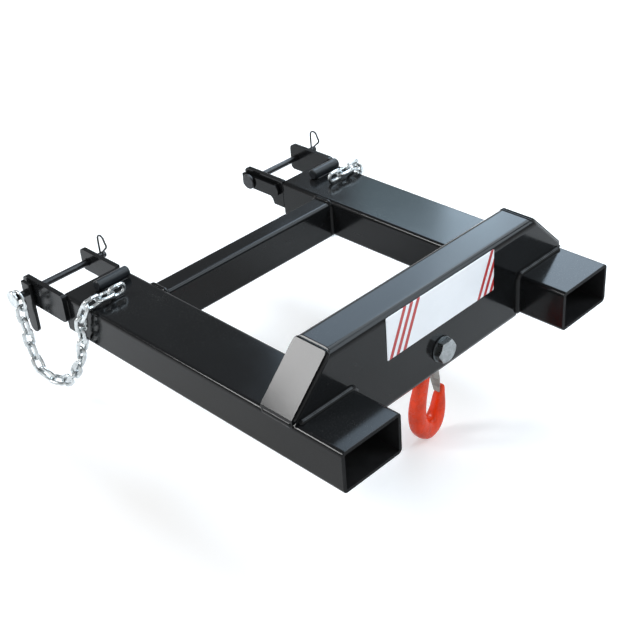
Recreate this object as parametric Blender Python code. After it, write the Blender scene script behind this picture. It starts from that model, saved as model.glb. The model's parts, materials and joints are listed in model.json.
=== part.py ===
"""Lifting beam for a pair of forks, with a hook that swings under it.

Two fork pockets carry a notched beam near their toes and a cross tube near their heels.
Pins in ears behind the pockets keep the forks in, each with a flag handle, a hairpin clip
and a tether chain. Sizes are in metres and +Z is up. The toes face -Y with their ends at
y = 0, and the pockets' underside is at z = 0.
"""

import math

import bmesh
import bpy
from mathutils import Matrix, Vector

INCH = 0.0254

# Gap between pieces that are welded or that touch
SEAT = 0.0003
# Radial clearance of a plain hole round a bar or bolt
HOLE_CLEARANCE = 0.0008

# Fork pockets
POCKET_WIDTH = 5 * INCH
POCKET_HEIGHT = 3 * INCH
POCKET_WALL = 0.25 * INCH
POCKET_CORNER = 0.32 * INCH
POCKET_LENGTH = 26.5 * INCH
POCKET_SPACING = 21.15 * INCH

# Lifting beam
BEAM_DEPTH = 3 * INCH
BEAM_HEIGHT = 7 * INCH
BEAM_WALL = 0.25 * INCH
BEAM_CORNER = 0.55 * INCH
BEAM_SETBACK = 3.7 * INCH
BEAM_RISE = 3.5 * INCH
CAP_THICKNESS = 0.25 * INCH
CAP_INSET = 0.2 * INCH
CAP_CORNER = 0.2 * INCH

# Rear cross tube
CROSS_DEPTH = 1.75 * INCH
CROSS_HEIGHT = 3 * INCH
CROSS_WALL = 0.1875 * INCH
CROSS_CORNER = 0.3 * INCH
CROSS_SETBACK = 21.2 * INCH
CROSS_BELOW_POCKET_TOP = 0.15 * INCH

# Heel ears and the pins in them
EAR_THICKNESS = 0.375 * INCH
EAR_CORNER = 0.35 * INCH
INNER_EAR_REACH = 4.4 * INCH
INNER_EAR_ABOVE_POCKET = 0.05 * INCH
INNER_EAR_HEIGHT = 1.75 * INCH
INNER_EAR_ROOT_HEIGHT = 2.35 * INCH
INNER_EAR_ROOT_REACH = 1.35 * INCH
OUTER_EAR_REACH = 4.25 * INCH
OUTER_EAR_LAP = 0.5 * INCH
OUTER_EAR_ABOVE_POCKET = 0.2 * INCH
OUTER_EAR_HEIGHT = 2.2 * INCH
PIN_DIAMETER = 0.5 * INCH
PIN_BEHIND_POCKET = 3.55 * INCH
PIN_BELOW_POCKET_TOP = 0.85 * INCH
LEFT_CLIP_BEYOND_EAR = 0.8 * INCH
RIGHT_CLIP_BEYOND_EAR = 1.4 * INCH
PIN_END_BEYOND_CLIP = 0.4 * INCH
LEFT_PIN_STUB = 1.05 * INCH
PIN_HEAD_DIAMETER = 1.26 * INCH
PIN_HEAD_THICKNESS = 0.2 * INCH
PIN_CHAMFER = 0.06 * INCH
FLAG_WIDTH = 1.0 * INCH
FLAG_THICKNESS = 0.25 * INCH
FLAG_ABOVE_PIN = 0.8 * INCH
FLAG_BELOW_PIN = 3.3 * INCH
FLAG_OFF_EAR = 0.1 * INCH
LEFT_FLAG_TURN = 0.0
RIGHT_FLAG_TURN = -90.0

# Hairpin clip
CLIP_WIRE = 0.004
CLIP_LEG_BELOW = 0.024
CLIP_LEG_ABOVE = 0.036
CLIP_LOOP_WIDTH = 0.020
CLIP_LOOP_BULGE = 0.004
CLIP_RUN = 0.0006
CLIP_TAIL = 0.012

# Short bar across each pocket's top
HEEL_BAR_DIAMETER = 0.8 * INCH
HEEL_BAR_LENGTH = 2.7 * INCH
HEEL_BAR_FROM_HEEL = 1.6 * INCH
HEEL_BAR_OFF_CENTRE = 0.65 * INCH

# Tether chains
CHAIN_WIRE = 0.28 * INCH
CHAIN_PITCH = 1.0 * INCH
CHAIN_INNER_WIDTH = 0.44 * INCH
CHAIN_BITE = 0.0008
CHAIN_LOOP_DROP = 6.7 * INCH
LEFT_CHAIN_ON_TOP = 1.5 * CHAIN_PITCH
RIGHT_CHAIN_ON_TOP = 0.9 * CHAIN_PITCH
CHAIN_OFF_EDGE = 0.02 * INCH
CHAIN_OFF_POCKET = 0.07 * INCH
CHAIN_SIDES = 6
CHAIN_CROWN_STEPS = 4
RING_WIRE = 0.25 * INCH
RING_BORE = 1.2 * INCH
LEFT_RING_BEYOND_EAR = 1.05 * INCH
RIGHT_RING_BEYOND_EAR = 0.65 * INCH

# Hook bolt
BOLT_DIAMETER = 1.0 * INCH
BOLT_ABOVE_BEAM_BOTTOM = 1.93 * INCH
BOLT_ACROSS_FLATS = 1.5 * INCH
BOLT_HEAD_HEIGHT = 0.5 * INCH
BOLT_STICK_OUT = 0.3 * INCH
NUT_HEIGHT = 0.86 * INCH
WASHER_DIAMETER = 1.8 * INCH
WASHER_THICKNESS = 0.1 * INCH
SPACER_DIAMETER = 1.5 * INCH

# Hook and the slot that it swings in
SLOT_LENGTH = 3.1 * INCH
SLOT_WIDTH = 1.25 * INCH
EYE_OUTER_DIAMETER = 2.3 * INCH
EYE_THICKNESS = 0.85 * INCH
EYE_ROUNDING = 0.2 * INCH
EYE_RUN = 0.0004
HOOK_FULLNESS = 0.8

# Hook latch
LATCH_PIVOT = Vector((0.63 * INCH, 0.0, -2.75 * INCH))
LATCH_REST = Vector((0.97 * INCH, 0.0, -4.88 * INCH))
LATCH_WIDTH = 0.9 * INCH
LATCH_TIP_WIDTH = 0.5 * INCH
LATCH_SHEET = 0.0025
LATCH_CHEEK_LENGTH = 0.85 * INCH
LATCH_PIN_DIAMETER = 0.0045
LATCH_PIN_HEAD_DIAMETER = 0.0085
LATCH_PIN_HEAD = 0.0015
LATCH_LUG_RADIUS = 0.24 * INCH
LATCH_LUG_THICKNESS = 0.007
LATCH_RUN = 0.0003
SPRING_WIRE = 0.0009
SPRING_PITCH = 0.00145
SPRING_TURNS = 2.43
SPRING_COIL_RADIUS = 0.0056
SPRING_LEG = 0.013

# Facets of round shapes
ROUND_SIDES = 24
BAR_SIDES = 16
WIRE_SIDES = 8
CORNER_STEPS = 4

# Places worked out from the sizes above
POCKET_CENTRES = {"left": -POCKET_SPACING / 2, "right": POCKET_SPACING / 2}
INNER_SIDE = (POCKET_SPACING - POCKET_WIDTH) / 2
OUTER_SIDE = (POCKET_SPACING + POCKET_WIDTH) / 2
BEAM_TOP = POCKET_HEIGHT + BEAM_RISE
BEAM_BOTTOM = BEAM_TOP - BEAM_HEIGHT
BEAM_MIDDLE_Y = BEAM_SETBACK + BEAM_DEPTH / 2
CAP_PLUMB = CAP_THICKNESS * math.sqrt(2)
PIN_Y = POCKET_LENGTH + PIN_BEHIND_POCKET
PIN_Z = POCKET_HEIGHT - PIN_BELOW_POCKET_TOP
BOLT_Z = BEAM_BOTTOM + BOLT_ABOVE_BEAM_BOTTOM
# The outer ears lie against the pockets' outer sides, and the inner ears are level with the inner sides
INNER_EAR_FACE = POCKET_WIDTH / 2
OUTER_EAR_FACE = POCKET_WIDTH / 2 + SEAT + EAR_THICKNESS
CLIP_X = {"left": INNER_EAR_FACE + LEFT_CLIP_BEYOND_EAR, "right": OUTER_EAR_FACE + RIGHT_CLIP_BEYOND_EAR}
FLAG_INNER_X = {"left": -OUTER_EAR_FACE - FLAG_OFF_EAR, "right": -INNER_EAR_FACE - FLAG_OFF_EAR}
PIN_STUB = {"left": LEFT_PIN_STUB, "right": SEAT}
LINK_WIDTH = CHAIN_INNER_WIDTH + 2 * CHAIN_WIRE
CHAIN_LIE = POCKET_HEIGHT + LINK_WIDTH / 2 + SEAT
CHAIN_STRIDE = CHAIN_PITCH + CHAIN_BITE


def clear_scene():
    for scene_object in list(bpy.data.objects):
        bpy.data.objects.remove(scene_object)


def make_material(name, colour, roughness, metallic):
    material = bpy.data.materials.new(name)
    material.use_nodes = True
    shader = material.node_tree.nodes["Principled BSDF"]
    shader.inputs["Base Color"].default_value = (*colour, 1.0)
    shader.inputs["Roughness"].default_value = roughness
    shader.inputs["Metallic"].default_value = metallic
    return material


def add_object(name, shape, material, location=(0, 0, 0), parent=None):
    """Turn a bmesh into a named object with its faces turned outward."""
    bmesh.ops.recalc_face_normals(shape, faces=shape.faces)
    mesh = bpy.data.meshes.new(name)
    shape.to_mesh(mesh)
    shape.free()
    mesh.materials.append(material)
    new_object = bpy.data.objects.new(name, mesh)
    new_object.location = location
    new_object.parent = parent
    bpy.context.scene.collection.objects.link(new_object)
    bpy.context.view_layer.update()
    return new_object


def add_pivot(name, location, parent=None):
    pivot = bpy.data.objects.new(name, None)
    pivot.location = location
    pivot.parent = parent
    bpy.context.scene.collection.objects.link(pivot)
    bpy.context.view_layer.update()
    return pivot


def combine(target, shape, operation):
    """Cut a bmesh, in the target's own coordinates, out of an object, or join it on."""
    tool = add_object("tool", shape, target.data.materials[0])
    tool.matrix_world = target.matrix_world
    bpy.context.view_layer.update()
    modifier = target.modifiers.new("combine", "BOOLEAN")
    modifier.operation = operation
    modifier.object = tool
    modifier.solver = "EXACT"
    with bpy.context.temp_override(object=target, active_object=target):
        bpy.ops.object.modifier_apply(modifier=modifier.name)
    bpy.data.objects.remove(tool)


def arc(centre, radius, start, stop, steps):
    """Points of a circular arc in a plane, angles in degrees."""
    angles = [math.radians(start + (stop - start) * step / steps) for step in range(steps + 1)]
    return [(centre[0] + radius * math.cos(a), centre[1] + radius * math.sin(a)) for a in angles]


def circle(radius, sides, centre=(0.0, 0.0)):
    return arc(centre, radius, 0, 360, sides)[:-1]


def rounded_outline(u_range, v_range, radius):
    """A rectangle with four rounded corners."""
    (u0, u1), (v0, v1) = u_range, v_range
    corners = [(u1 - radius, v1 - radius), (u0 + radius, v1 - radius),
               (u0 + radius, v0 + radius), (u1 - radius, v0 + radius)]
    outline = []
    for quarter, centre in enumerate(corners):
        outline += arc(centre, radius, 90 * quarter, 90 * quarter + 90, CORNER_STEPS)
    return outline


def place(axis, distance, u, v):
    """A point at a distance along an axis, with u and v on the other two axes in X, Y, Z order."""
    return {"X": (distance, u, v), "Y": (u, distance, v), "Z": (u, v, distance)}[axis]


def join_rings(shape, rings, closed=False):
    """Skin a row of vertex rings with quads, and cap the ends unless the row is closed."""
    rows = [[shape.verts.new(point) for point in ring] for ring in rings]
    pairs = list(zip(rows, rows[1:])) + ([(rows[-1], rows[0])] if closed else [])
    for first, second in pairs:
        for index in range(len(first)):
            after = (index + 1) % len(first)
            shape.faces.new((first[index], first[after], second[after], second[index]))
    if not closed:
        shape.faces.new(rows[0])
        shape.faces.new(rows[-1])
    return shape


def prism(outline, axis, start, stop):
    rings = [[place(axis, distance, u, v) for u, v in outline] for distance in (start, stop)]
    return join_rings(bmesh.new(), rings)


def tube(outer, inner, axis, start, stop):
    """A hollow bar, open at both ends, from two outlines with as many points each."""
    rings = [[place(axis, distance, u, v) for u, v in outline]
             for outline, distance in ((outer, start), (outer, stop), (inner, stop), (inner, start))]
    return join_rings(bmesh.new(), rings, closed=True)


def lathe(profile, axis):
    """Turn a closed profile of (radius, distance) points round an axis."""
    rings = []
    for u, v in circle(1.0, ROUND_SIDES):
        rings.append([place(axis, distance, radius * u, radius * v) for radius, distance in profile])
    return join_rings(bmesh.new(), rings, closed=True)


def turned_bar(profile, axis):
    """Turn an open profile, solid to the axis, round that axis."""
    rings = [[place(axis, distance, u, v) for u, v in circle(radius, ROUND_SIDES)]
             for radius, distance in profile]
    return join_rings(bmesh.new(), rings)


def hollow_section(u_range, v_range, wall, corner):
    """Outer and inner outlines of a rectangular tube."""
    (u0, u1), (v0, v1) = u_range, v_range
    outer = rounded_outline(u_range, v_range, corner)
    inner = rounded_outline((u0 + wall, u1 - wall), (v0 + wall, v1 - wall), max(corner - wall, wall / 4))
    return outer, inner


def smooth_path(points, steps):
    """A Catmull-Rom curve through points."""
    ends = [2 * points[0] - points[1]] + list(points) + [2 * points[-1] - points[-2]]
    path = []
    for before, start, stop, after in zip(ends, ends[1:], ends[2:], ends[3:]):
        for step in range(steps):
            t = step / steps
            path.append(0.5 * (2 * start + (stop - before) * t
                               + (2 * before - 5 * start + 4 * stop - after) * t ** 2
                               + (3 * start - before - 3 * stop + after) * t ** 3))
    path.append(points[-1])
    return path


def tangents(path):
    inner = [(after - before).normalized() for before, after in zip(path, path[2:])]
    return [(path[1] - path[0]).normalized()] + inner + [(path[-1] - path[-2]).normalized()]


def carried_normals(directions, first):
    """Carry a normal along a row of directions without twisting it."""
    normals = [first]
    for before, after in zip(directions, directions[1:]):
        normals.append(before.rotation_difference(after) @ normals[-1])
    return normals


def round_wire(shape, path, diameter, sides, first_normal):
    """A round wire along an open path."""
    directions = tangents(path)
    rings = []
    for point, along, side in zip(path, directions, carried_normals(directions, first_normal)):
        other = along.cross(side)
        rings.append([point + side * u + other * v for u, v in circle(diameter / 2, sides)])
    return join_rings(shape, rings)


def make_pockets(paint):
    outer, inner = hollow_section((-POCKET_WIDTH / 2, POCKET_WIDTH / 2), (0, POCKET_HEIGHT),
                                  POCKET_WALL, POCKET_CORNER)
    for side, centre in POCKET_CENTRES.items():
        shape = tube(outer, inner, "Y", 0, POCKET_LENGTH)
        add_object(f"{side}_fork_pocket", shape, paint, (centre, 0, 0))


def make_beam(paint):
    """A tube across both pockets, notched to sit on them, with 45 degree ends and a slot below."""
    outer, inner = hollow_section((-BEAM_DEPTH / 2, BEAM_DEPTH / 2), (BEAM_BOTTOM, BEAM_TOP),
                                  BEAM_WALL, BEAM_CORNER)
    shape = tube(outer, inner, "X", -OUTER_SIDE, OUTER_SIDE)
    beam = add_object("lifting_beam", shape, paint, (0, BEAM_MIDDLE_Y, 0))
    past = BEAM_DEPTH
    seat_z = POCKET_HEIGHT + SEAT
    # The ends slope back at 45 degrees, a weld gap inside the caps
    low, high = seat_z - past, BEAM_TOP + past
    mitre_foot = OUTER_SIDE - SEAT * math.sqrt(2) + past
    for sign in (-1, 1):
        inside, outside = sign * (INNER_SIDE - SEAT), sign * (OUTER_SIDE + past)
        notch = [(inside, BEAM_BOTTOM - past), (outside, BEAM_BOTTOM - past),
                 (outside, seat_z), (inside, seat_z)]
        combine(beam, prism(notch, "Y", -past, past), "DIFFERENCE")
        mitre = [(sign * mitre_foot, low), (sign * (mitre_foot + past), low),
                 (sign * (mitre_foot + past), high), (sign * (mitre_foot - (high - low)), high)]
        combine(beam, prism(mitre, "Y", -past, past), "DIFFERENCE")
    hole = circle(BOLT_DIAMETER / 2 + HOLE_CLEARANCE, ROUND_SIDES, (0, BOLT_Z))
    combine(beam, prism(hole, "Y", -past, past), "DIFFERENCE")
    slot = rounded_outline((-SLOT_LENGTH / 2, SLOT_LENGTH / 2), (-SLOT_WIDTH / 2, SLOT_WIDTH / 2),
                           SLOT_WIDTH / 2 - SEAT)
    combine(beam, prism(slot, "Z", BEAM_BOTTOM - past, BEAM_BOTTOM + BEAM_WALL * 2), "DIFFERENCE")


def make_beam_caps(paint):
    """Sloping plates on the beam's ends, narrower than the beam so that a weld fits round them."""
    foot = POCKET_HEIGHT + SEAT
    past = BEAM_DEPTH
    half_width = BEAM_DEPTH / 2 - CAP_INSET
    head_x = OUTER_SIDE - (BEAM_TOP - foot - CAP_PLUMB)
    section = rounded_outline((-half_width, half_width), (BEAM_BOTTOM, BEAM_TOP + SEAT), CAP_CORNER)
    for side, sign in (("left", -1), ("right", 1)):
        # The upper edge is cut square to the plate
        outline = [(sign * OUTER_SIDE, foot), (sign * OUTER_SIDE, foot + CAP_PLUMB), (sign * head_x, BEAM_TOP),
                   (sign * (head_x - CAP_PLUMB / 2), BEAM_TOP - CAP_PLUMB / 2)]
        cap = add_object(f"{side}_beam_cap", prism(outline, "Y", -past, past), paint,
                         (0, BEAM_MIDDLE_Y, 0))
        combine(cap, prism(section, "X", -2 * OUTER_SIDE, 2 * OUTER_SIDE), "INTERSECT")


def make_cross_tube(paint):
    top = POCKET_HEIGHT - CROSS_BELOW_POCKET_TOP
    outer, inner = hollow_section((0, CROSS_DEPTH), (top - CROSS_HEIGHT, top), CROSS_WALL, CROSS_CORNER)
    shape = tube(outer, inner, "X", -INNER_SIDE + SEAT, INNER_SIDE - SEAT)
    add_object("rear_cross_tube", shape, paint, (0, CROSS_SETBACK, 0))


def inner_ear_outline():
    """Side view of an inner ear from the pocket's end: a deep root, a step, and a rounded rear end."""
    top = POCKET_HEIGHT + INNER_EAR_ABOVE_POCKET
    foot = top - INNER_EAR_HEIGHT
    root = top - INNER_EAR_ROOT_HEIGHT
    step = INNER_EAR_ROOT_REACH
    end = INNER_EAR_REACH - EAR_CORNER
    outline = [(SEAT, root), (step - EAR_CORNER / 2, root)]
    outline += [(step, foot - EAR_CORNER / 2), (step + EAR_CORNER / 2, foot)]
    outline += arc((end, foot + EAR_CORNER), EAR_CORNER, -90, 0, CORNER_STEPS)
    outline += arc((end, top - EAR_CORNER), EAR_CORNER, 0, 90, CORNER_STEPS)
    outline.append((SEAT, top))
    return outline


def outer_ear_outline():
    """Side view of an outer ear, which laps over the pocket's outer side."""
    top = POCKET_HEIGHT + OUTER_EAR_ABOVE_POCKET
    return rounded_outline((-OUTER_EAR_LAP, OUTER_EAR_REACH), (top - OUTER_EAR_HEIGHT, top), EAR_CORNER)


def make_ears(paint):
    hole = circle(PIN_DIAMETER / 2 + HOLE_CLEARANCE, ROUND_SIDES, (PIN_BEHIND_POCKET, PIN_Z))
    faces = {"inner": INNER_EAR_FACE, "outer": OUTER_EAR_FACE}
    outlines = {"inner": inner_ear_outline(), "outer": outer_ear_outline()}
    ears = [("left", "west", "outer"), ("left", "east", "inner"),
            ("right", "west", "inner"), ("right", "east", "outer")]
    for side, edge, kind in ears:
        start = -faces[kind] if edge == "west" else faces[kind] - EAR_THICKNESS
        ear = add_object(f"{side}_heel_ear_{edge}",
                         prism(outlines[kind], "X", start, start + EAR_THICKNESS),
                         paint, (POCKET_CENTRES[side], POCKET_LENGTH, 0))
        combine(ear, prism(hole, "X", -2 * POCKET_WIDTH, 2 * POCKET_WIDTH), "DIFFERENCE")


def make_heel_bars(paint):
    radius = HEEL_BAR_DIAMETER / 2
    for side, centre in POCKET_CENTRES.items():
        start = HEEL_BAR_OFF_CENTRE - HEEL_BAR_LENGTH / 2
        shape = turned_bar([(radius, start), (radius, start + HEEL_BAR_LENGTH)], "X")
        location = (centre, POCKET_LENGTH - HEEL_BAR_FROM_HEEL, POCKET_HEIGHT + radius + SEAT)
        add_object(f"{side}_heel_bar", shape, paint, location)


def make_pin(side, pivot, steel):
    """A headed round bar, with a cross hole for the clip near its other end."""
    radius = PIN_DIAMETER / 2
    head = FLAG_INNER_X[side] - FLAG_THICKNESS - PIN_STUB[side]
    tip = CLIP_X[side] + PIN_END_BEYOND_CLIP
    profile = [(PIN_HEAD_DIAMETER / 2 - PIN_CHAMFER, head - PIN_HEAD_THICKNESS),
               (PIN_HEAD_DIAMETER / 2, head - PIN_HEAD_THICKNESS + PIN_CHAMFER),
               (PIN_HEAD_DIAMETER / 2, head), (radius, head),
               (radius, tip - PIN_CHAMFER), (radius - PIN_CHAMFER, tip)]
    pin = add_object(f"{side}_heel_pin", turned_bar(profile, "X"), steel, parent=pivot)
    hole = circle(CLIP_WIRE / 2 + HOLE_CLEARANCE, BAR_SIDES, (CLIP_X[side], 0))
    combine(pin, prism(hole, "Z", -PIN_DIAMETER, PIN_DIAMETER), "DIFFERENCE")


def make_flag(side, pivot, turn, paint):
    """The pin's flat handle: a strip with a rounded end, turned about the pin."""
    half = FLAG_WIDTH / 2
    outline = arc((0, half - FLAG_BELOW_PIN), half, 180, 360, 2 * CORNER_STEPS)
    outline += [(half, FLAG_ABOVE_PIN), (-half, FLAG_ABOVE_PIN)]
    inner = FLAG_INNER_X[side]
    shape = prism(outline, "X", inner - FLAG_THICKNESS, inner)
    flag = add_object(f"{side}_pin_flag", shape, paint, parent=pivot)
    hole = circle(PIN_DIAMETER / 2 + SEAT, ROUND_SIDES)
    combine(flag, prism(hole, "X", -2 * POCKET_WIDTH, 2 * POCKET_WIDTH), "DIFFERENCE")
    flag.rotation_euler.x = math.radians(turn)


def make_clip(side, pivot, steel):
    """A hairpin: a straight leg through the pin, a loop on top and a bowed leg beside the pin."""
    bow = PIN_DIAMETER / 2 + CLIP_WIRE / 2 + CLIP_RUN
    waist = PIN_DIAMETER / 2 + CLIP_WIRE
    loop = CLIP_LOOP_WIDTH / 2
    points = [(0, -CLIP_LEG_BELOW), (0, 0), (0, waist), (0, CLIP_LEG_ABOVE)]
    points += arc((-loop, CLIP_LEG_ABOVE), loop, 45, 180, 3)
    points += [(-CLIP_LOOP_WIDTH - CLIP_LOOP_BULGE, CLIP_LEG_ABOVE - loop), (-loop, waist + CLIP_WIRE / 2)]
    points += [(-bow, CLIP_WIRE), (-bow, -CLIP_WIRE), (-bow - CLIP_WIRE, -CLIP_TAIL)]
    path = smooth_path([Vector((0, y, z)) for y, z in points], 3)
    shape = round_wire(bmesh.new(), path, CLIP_WIRE, WIRE_SIDES, Vector((1, 0, 0)))
    add_object(f"{side}_hairpin_clip", shape, steel, (CLIP_X[side], 0, 0), pivot)


def make_retaining_pins(paint, steel):
    for side, turn in (("left", LEFT_FLAG_TURN), ("right", RIGHT_FLAG_TURN)):
        pivot = add_pivot(f"{side}_pin_axis", (POCKET_CENTRES[side], PIN_Y, PIN_Z))
        make_pin(side, pivot, steel)
        make_flag(side, pivot, turn, paint)
        make_clip(side, pivot, steel)


def add_link(shape, centre, along, across):
    """One chain link: a round wire bent into a loop with straight sides and round ends."""
    crown = (CHAIN_INNER_WIDTH + CHAIN_WIRE) / 2
    straight = (CHAIN_PITCH + CHAIN_WIRE) / 2 - crown
    outline = arc((straight, 0), crown, -90, 90, CHAIN_CROWN_STEPS)
    outline += arc((-straight, 0), crown, 90, 270, CHAIN_CROWN_STEPS)
    normal = along.cross(across)
    rings = []
    for u, v in outline:
        outward = Vector((u - max(-straight, min(straight, u)), v)).normalized()
        point = centre + along * u + across * v
        side = along * outward.x + across * outward.y
        rings.append([point + side * a + normal * b for a, b in circle(CHAIN_WIRE / 2, CHAIN_SIDES)])
    join_rings(shape, rings, closed=True)


def ring_centre(side):
    """Where a chain's end ring hangs on its pin."""
    beyond = {"left": LEFT_RING_BEYOND_EAR, "right": RIGHT_RING_BEYOND_EAR}[side]
    out = OUTER_EAR_FACE + beyond
    sign = {"left": -1, "right": 1}[side]
    sag = RING_BORE / 2 - PIN_DIAMETER / 2 - SEAT
    return Vector((POCKET_CENTRES[side] + sign * out, PIN_Y, PIN_Z - sag))


def chain_route(side):
    """A chain's run from its end ring down into a loop, up the pocket's side and along its top."""
    sign = {"left": -1, "right": 1}[side]
    centre = POCKET_CENTRES[side]
    ring = ring_centre(side)
    end = ring - Vector((0, 0, RING_BORE / 2 - SEAT - CHAIN_BITE / 2))
    ring_out = abs(ring.x - centre)
    edge = POCKET_WIDTH / 2
    wall_out = edge + LINK_WIDTH / 2 + CHAIN_OFF_POCKET
    heel = POCKET_LENGTH
    loop = PIN_Z - CHAIN_LOOP_DROP
    # A link across the pocket's rounded edge has to clear it at the middle of the link
    bend = math.hypot(POCKET_CORNER + LINK_WIDTH / 2 + CHAIN_OFF_EDGE, CHAIN_STRIDE / 2)
    over_edge = arc((edge - POCKET_CORNER, POCKET_HEIGHT - POCKET_CORNER), bend, 5, 85, 2)
    # Distance out from the pocket's centre, distance behind the toe, height
    points = [(ring_out, PIN_Y, end.z),
              (ring_out, PIN_Y, end.z - CHAIN_PITCH),
              (ring_out, PIN_Y - 0.20 * INCH, loop + 2.5 * INCH),
              (ring_out, PIN_Y - 1.00 * INCH, loop + 0.7 * INCH),
              (wall_out + 0.2 * INCH, PIN_Y - 2.30 * INCH, loop),
              (wall_out + 0.1 * INCH, PIN_Y - 3.90 * INCH, loop + 1.2 * INCH),
              (wall_out, heel - 1.7 * INCH, loop + 3.2 * INCH),
              (wall_out, heel - 2.5 * INCH, loop + 5.3 * INCH),
              (over_edge[0][0], heel - 3.0 * INCH, over_edge[0][1]),
              (over_edge[1][0], heel - 3.2 * INCH, over_edge[1][1]),
              (over_edge[2][0], heel - 3.3 * INCH, over_edge[2][1]),
              (edge - 1.3 * CHAIN_PITCH, heel - 3.3 * INCH, CHAIN_LIE),
              (-edge, heel - 3.3 * INCH, CHAIN_LIE)]
    return [Vector((centre + sign * out, y, z)) for out, y, z in points]


def chain_joints(side):
    """Points where the links meet, a fixed stride apart, until the chain lies on the pocket's top."""
    on_top = {"left": LEFT_CHAIN_ON_TOP, "right": RIGHT_CHAIN_ON_TOP}[side]
    last_out = POCKET_WIDTH / 2 - on_top
    path = smooth_path(chain_route(side), 60)
    joints = [path[0]]
    for point in path:
        if (point - joints[-1]).length >= CHAIN_STRIDE:
            joints.append(joints[-1] + (point - joints[-1]).normalized() * CHAIN_STRIDE)
        if len(joints) > 1 and abs(joints[-1].x - POCKET_CENTRES[side]) < last_out:
            break
    return joints


def make_chain(side, zinc):
    """Links fused where they bear on each other, a welded anchor link and an end ring."""
    joints = chain_joints(side)
    link_count = len(joints) - 1
    strides = [(after - before).normalized() for before, after in zip(joints, joints[1:])]
    # The anchor link stands on edge, so the roll is carried from the pocket's top to the ring
    from_anchor = list(reversed(strides))
    normals = list(reversed(carried_normals(from_anchor, Vector((0, 1, 0)))))
    across_ring = Vector((1, 0, 0))
    last_is_turned = link_count % 2 == 0
    reached = strides[0].cross(normals[0]) if last_is_turned else normals[0]
    twist = reached.angle(across_ring)
    if reached.cross(across_ring).dot(strides[0]) < 0:
        twist = -twist
    if abs(twist) > math.pi / 2:
        twist -= math.copysign(math.pi, twist)
    odd, even = bmesh.new(), bmesh.new()
    for index, (start, stop, along, normal) in enumerate(zip(joints, joints[1:], strides, normals)):
        share = 1 - index / (link_count - 1)
        turn = twist * share + math.pi / 2 * ((link_count - 1 - index) % 2)
        across = Matrix.Rotation(turn, 3, along) @ normal
        add_link(odd if index % 2 else even, (start + stop) / 2, along, across)
    chain = add_object(f"{side}_chain", even, zinc)
    combine(chain, odd, "UNION")

    anchor = bmesh.new()
    along = (strides[-1] * Vector((1, 1, 0))).normalized()
    centre = joints[-1] + along * ((CHAIN_PITCH - CHAIN_BITE) / 2 - SEAT)
    centre.z = CHAIN_LIE
    add_link(anchor, centre, along, Vector((0, 0, 1)))
    add_object(f"{side}_chain_anchor", anchor, zinc)

    bore = (RING_BORE + RING_WIRE) / 2
    profile = circle(RING_WIRE / 2, WIRE_SIDES, (bore, 0))
    add_object(f"{side}_chain_ring", lathe(profile, "X"), zinc, ring_centre(side))


def make_hook_bolt(zinc, steel, pivot):
    """Bolt with its head in front, washers on both faces, a nut behind and spacers inside."""
    front, rear = -BEAM_DEPTH / 2, BEAM_DEPTH / 2
    seat = WASHER_THICKNESS + 2 * SEAT
    radius = BOLT_DIAMETER / 2
    hexagon = circle(BOLT_ACROSS_FLATS / math.sqrt(3), 6)
    head_front = front - seat - BOLT_HEAD_HEIGHT
    bolt_end = rear + seat + NUT_HEIGHT + BOLT_STICK_OUT
    bolt = add_object("hook_bolt", prism(hexagon, "Y", head_front, front - seat), zinc, parent=pivot)
    shank = turned_bar([(radius, front - seat - SEAT), (radius, bolt_end - PIN_CHAMFER),
                        (radius - PIN_CHAMFER, bolt_end)], "Y")
    combine(bolt, shank, "UNION")

    bore = circle(radius + HOLE_CLEARANCE, ROUND_SIDES)
    washer = circle(WASHER_DIAMETER / 2, ROUND_SIDES)
    for name, start in (("front_washer", front - SEAT - WASHER_THICKNESS), ("rear_washer", rear + SEAT)):
        add_object(name, tube(washer, bore, "Y", start, start + WASHER_THICKNESS), steel, parent=pivot)

    nut_shape = prism(hexagon, "Y", rear + seat, rear + seat + NUT_HEIGHT)
    nut = add_object("hook_nut", nut_shape, zinc, parent=pivot)
    thread = circle(radius + SEAT, ROUND_SIDES)
    combine(nut, prism(thread, "Y", rear, rear + BEAM_DEPTH), "DIFFERENCE")

    spacer = circle(SPACER_DIAMETER / 2, ROUND_SIDES)
    inside = BEAM_DEPTH / 2 - BEAM_WALL - SEAT
    eye = EYE_THICKNESS / 2 + SEAT
    for name, start, stop in (("front_spacer", -inside, -eye), ("rear_spacer", eye, inside)):
        add_object(name, tube(spacer, bore, "Y", start, stop), zinc, parent=pivot)


def hook_stations():
    """The hook's centre line below its eye, with half width and half thickness, in inches."""
    return [(0.00, -0.85, 0.42, 0.34), (0.02, -1.60, 0.44, 0.40), (-0.10, -2.80, 0.46, 0.43),
            (-0.52, -4.10, 0.52, 0.50), (-0.78, -5.40, 0.56, 0.58), (-0.60, -6.65, 0.66, 0.60),
            (0.18, -7.38, 0.74, 0.60), (0.92, -7.04, 0.64, 0.58), (1.33, -6.18, 0.48, 0.52),
            (1.50, -5.25, 0.36, 0.42), (1.72, -4.50, 0.17, 0.24)]


def full_oval(sides):
    """A unit circle pushed out towards its square, as forgings are."""
    return [tuple(math.copysign(abs(c) ** HOOK_FULLNESS, c) for c in point)
            for point in circle(1.0, sides)]


def hook_body():
    """A bar of changing oval section bent into the hook's bowl."""
    stations = [Vector(station) * INCH for station in hook_stations()]
    path = smooth_path(stations, 2)
    centres = [Vector((station[0], 0, station[1])) for station in path]
    rings = []
    for station, centre, along in zip(path, centres, tangents(centres)):
        inward = along.cross(Vector((0, 1, 0)))
        rings.append([centre + inward * station[2] * u + Vector((0, station[3] * v, 0))
                      for u, v in full_oval(BAR_SIDES)])
    return join_rings(bmesh.new(), rings)


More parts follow.
